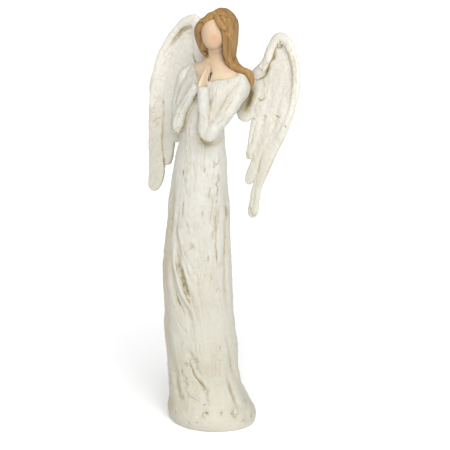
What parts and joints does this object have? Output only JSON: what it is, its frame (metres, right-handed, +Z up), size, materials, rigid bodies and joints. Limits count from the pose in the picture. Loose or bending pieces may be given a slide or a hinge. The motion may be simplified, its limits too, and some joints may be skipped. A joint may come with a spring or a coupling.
{
  "type": "praying angel figurine",
  "caption": "Slim hand-painted cast figurine of a gowned angel with folded hands, loose hair, a blank oval face and two swept wings; it stands on its flat underside.",
  "frame": {"origin": "middle of the flat underside", "axes": "+Z up; the figure faces -Y and its left side is +X"},
  "size_m": [0.1644, 0.0863, 0.3974],
  "materials": {
    "painted_resin": "cast resin, cream paint with tan wash in the carving, light brown hair, pale skin, matt"
  },
  "bodies": {
    "root": {"angel_figurine": "painted_resin"}
  },
  "joints": []
}
